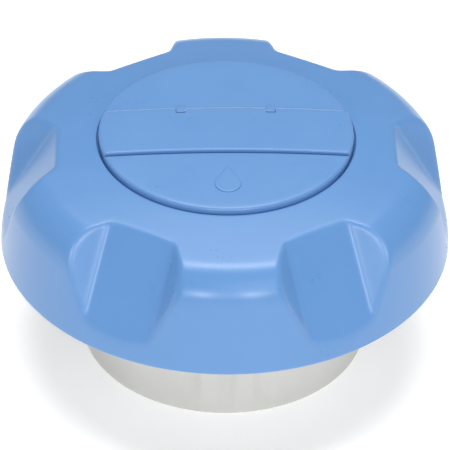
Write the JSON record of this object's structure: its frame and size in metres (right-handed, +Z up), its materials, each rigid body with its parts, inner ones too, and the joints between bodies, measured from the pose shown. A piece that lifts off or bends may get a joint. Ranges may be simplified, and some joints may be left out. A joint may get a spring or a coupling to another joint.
{
  "type": "lockable screw-on filler cap",
  "caption": "Round six-lobed finger-grip filler cap with a hinged key flap, a cylinder lock and a threaded cup with a breather valve.",
  "frame": {"origin": "centre of the cup's mouth, in the plane of its lower rim, where the cap stands", "axes": "+Z up the cap's axis to the deck; -Y to the front, where one lobe points; the bolt slides along +X"},
  "size_m": [0.104, 0.104, 0.0581],
  "materials": {
    "grip_blue": "satin moulded, very fine grain",
    "disc_blue": "satin moulded, smooth",
    "cup_grey": "satin moulded",
    "plate_grey": "satin moulded",
    "carrier_black": "glass-filled, matt",
    "slip_white": "natural acetal",
    "valve_white": "satin moulded",
    "seal_black": "matt",
    "membrane_white": "porous film",
    "lock_chrome": "satin chrome",
    "lock_brass": "turned",
    "steel": "zinc plated"
  },
  "bodies": {
    "closure": {"threaded_cup": "cup_grey", "neck_gasket": "seal_black", "slip_washer": "slip_white", "vent_housing": "valve_white", "vent_oring": "seal_black", "vent_cap": "valve_white", "vent_membrane": "membrane_white", "splash_guard": "valve_white"},
    "pressure_valve": {"pressure_poppet": "valve_white", "pressure_spring": "steel"},
    "vacuum_valve": {"vacuum_disc": "seal_black", "vacuum_spring": "steel"},
    "grip": {"grip_shell": "grip_blue", "cover_disc": "disc_blue", "disc_seal": "seal_black", "retaining_plate": "plate_grey", "plate_screws": "steel", "bolt_housing": "carrier_black", "bolt_cover": "carrier_black", "bolt_housing_screws": "steel", "lock_housing": "lock_chrome", "lock_circlip": "steel", "flap_pin": "steel"},
    "flap": {"key_flap": "disc_blue"},
    "plug": {"lock_plug": "lock_brass", "lock_wafers": "lock_brass", "lock_cam": "steel"},
    "bolt": {"locking_bolt": "steel"}
  },
  "joints": [
    {"name": "grip_turn", "type": "hinge", "parent": "closure", "child": "grip", "pos_m": [0, 0, 0.0336], "axis": [0, 0, 1], "continuous": true},
    {"name": "flap_open", "type": "hinge", "parent": "grip", "child": "flap", "pos_m": [0, 0.00768, 0.05741], "axis": [-1, 0, 0], "range_deg": [0, 100]},
    {"name": "plug_turn", "type": "hinge", "parent": "grip", "child": "plug", "pos_m": [0, 0, 0.0551], "axis": [0, 0, 1], "range_deg": [0, 90]},
    {"name": "bolt_slide", "type": "slide", "parent": "grip", "child": "bolt", "axis": [1, 0, 0], "range_m": [0, 0.004]},
    {"name": "pressure_lift", "type": "slide", "parent": "closure", "child": "pressure_valve", "axis": [0, 0, 1], "range_m": [0, 0.0015], "stiffness_N_per_m": 300, "springref_m": -0.003, "deforming": ["pressure_spring"]},
    {"name": "vacuum_drop", "type": "slide", "parent": "pressure_valve", "child": "vacuum_valve", "axis": [0, 0, -1], "range_m": [0, 0.0012], "stiffness_N_per_m": 80, "springref_m": -0.002, "deforming": ["vacuum_spring"]}
  ],
  "couplings": [
    {"joint": "bolt_slide", "follows": "plug_turn", "m_per_rad": 0.002546}
  ]
}
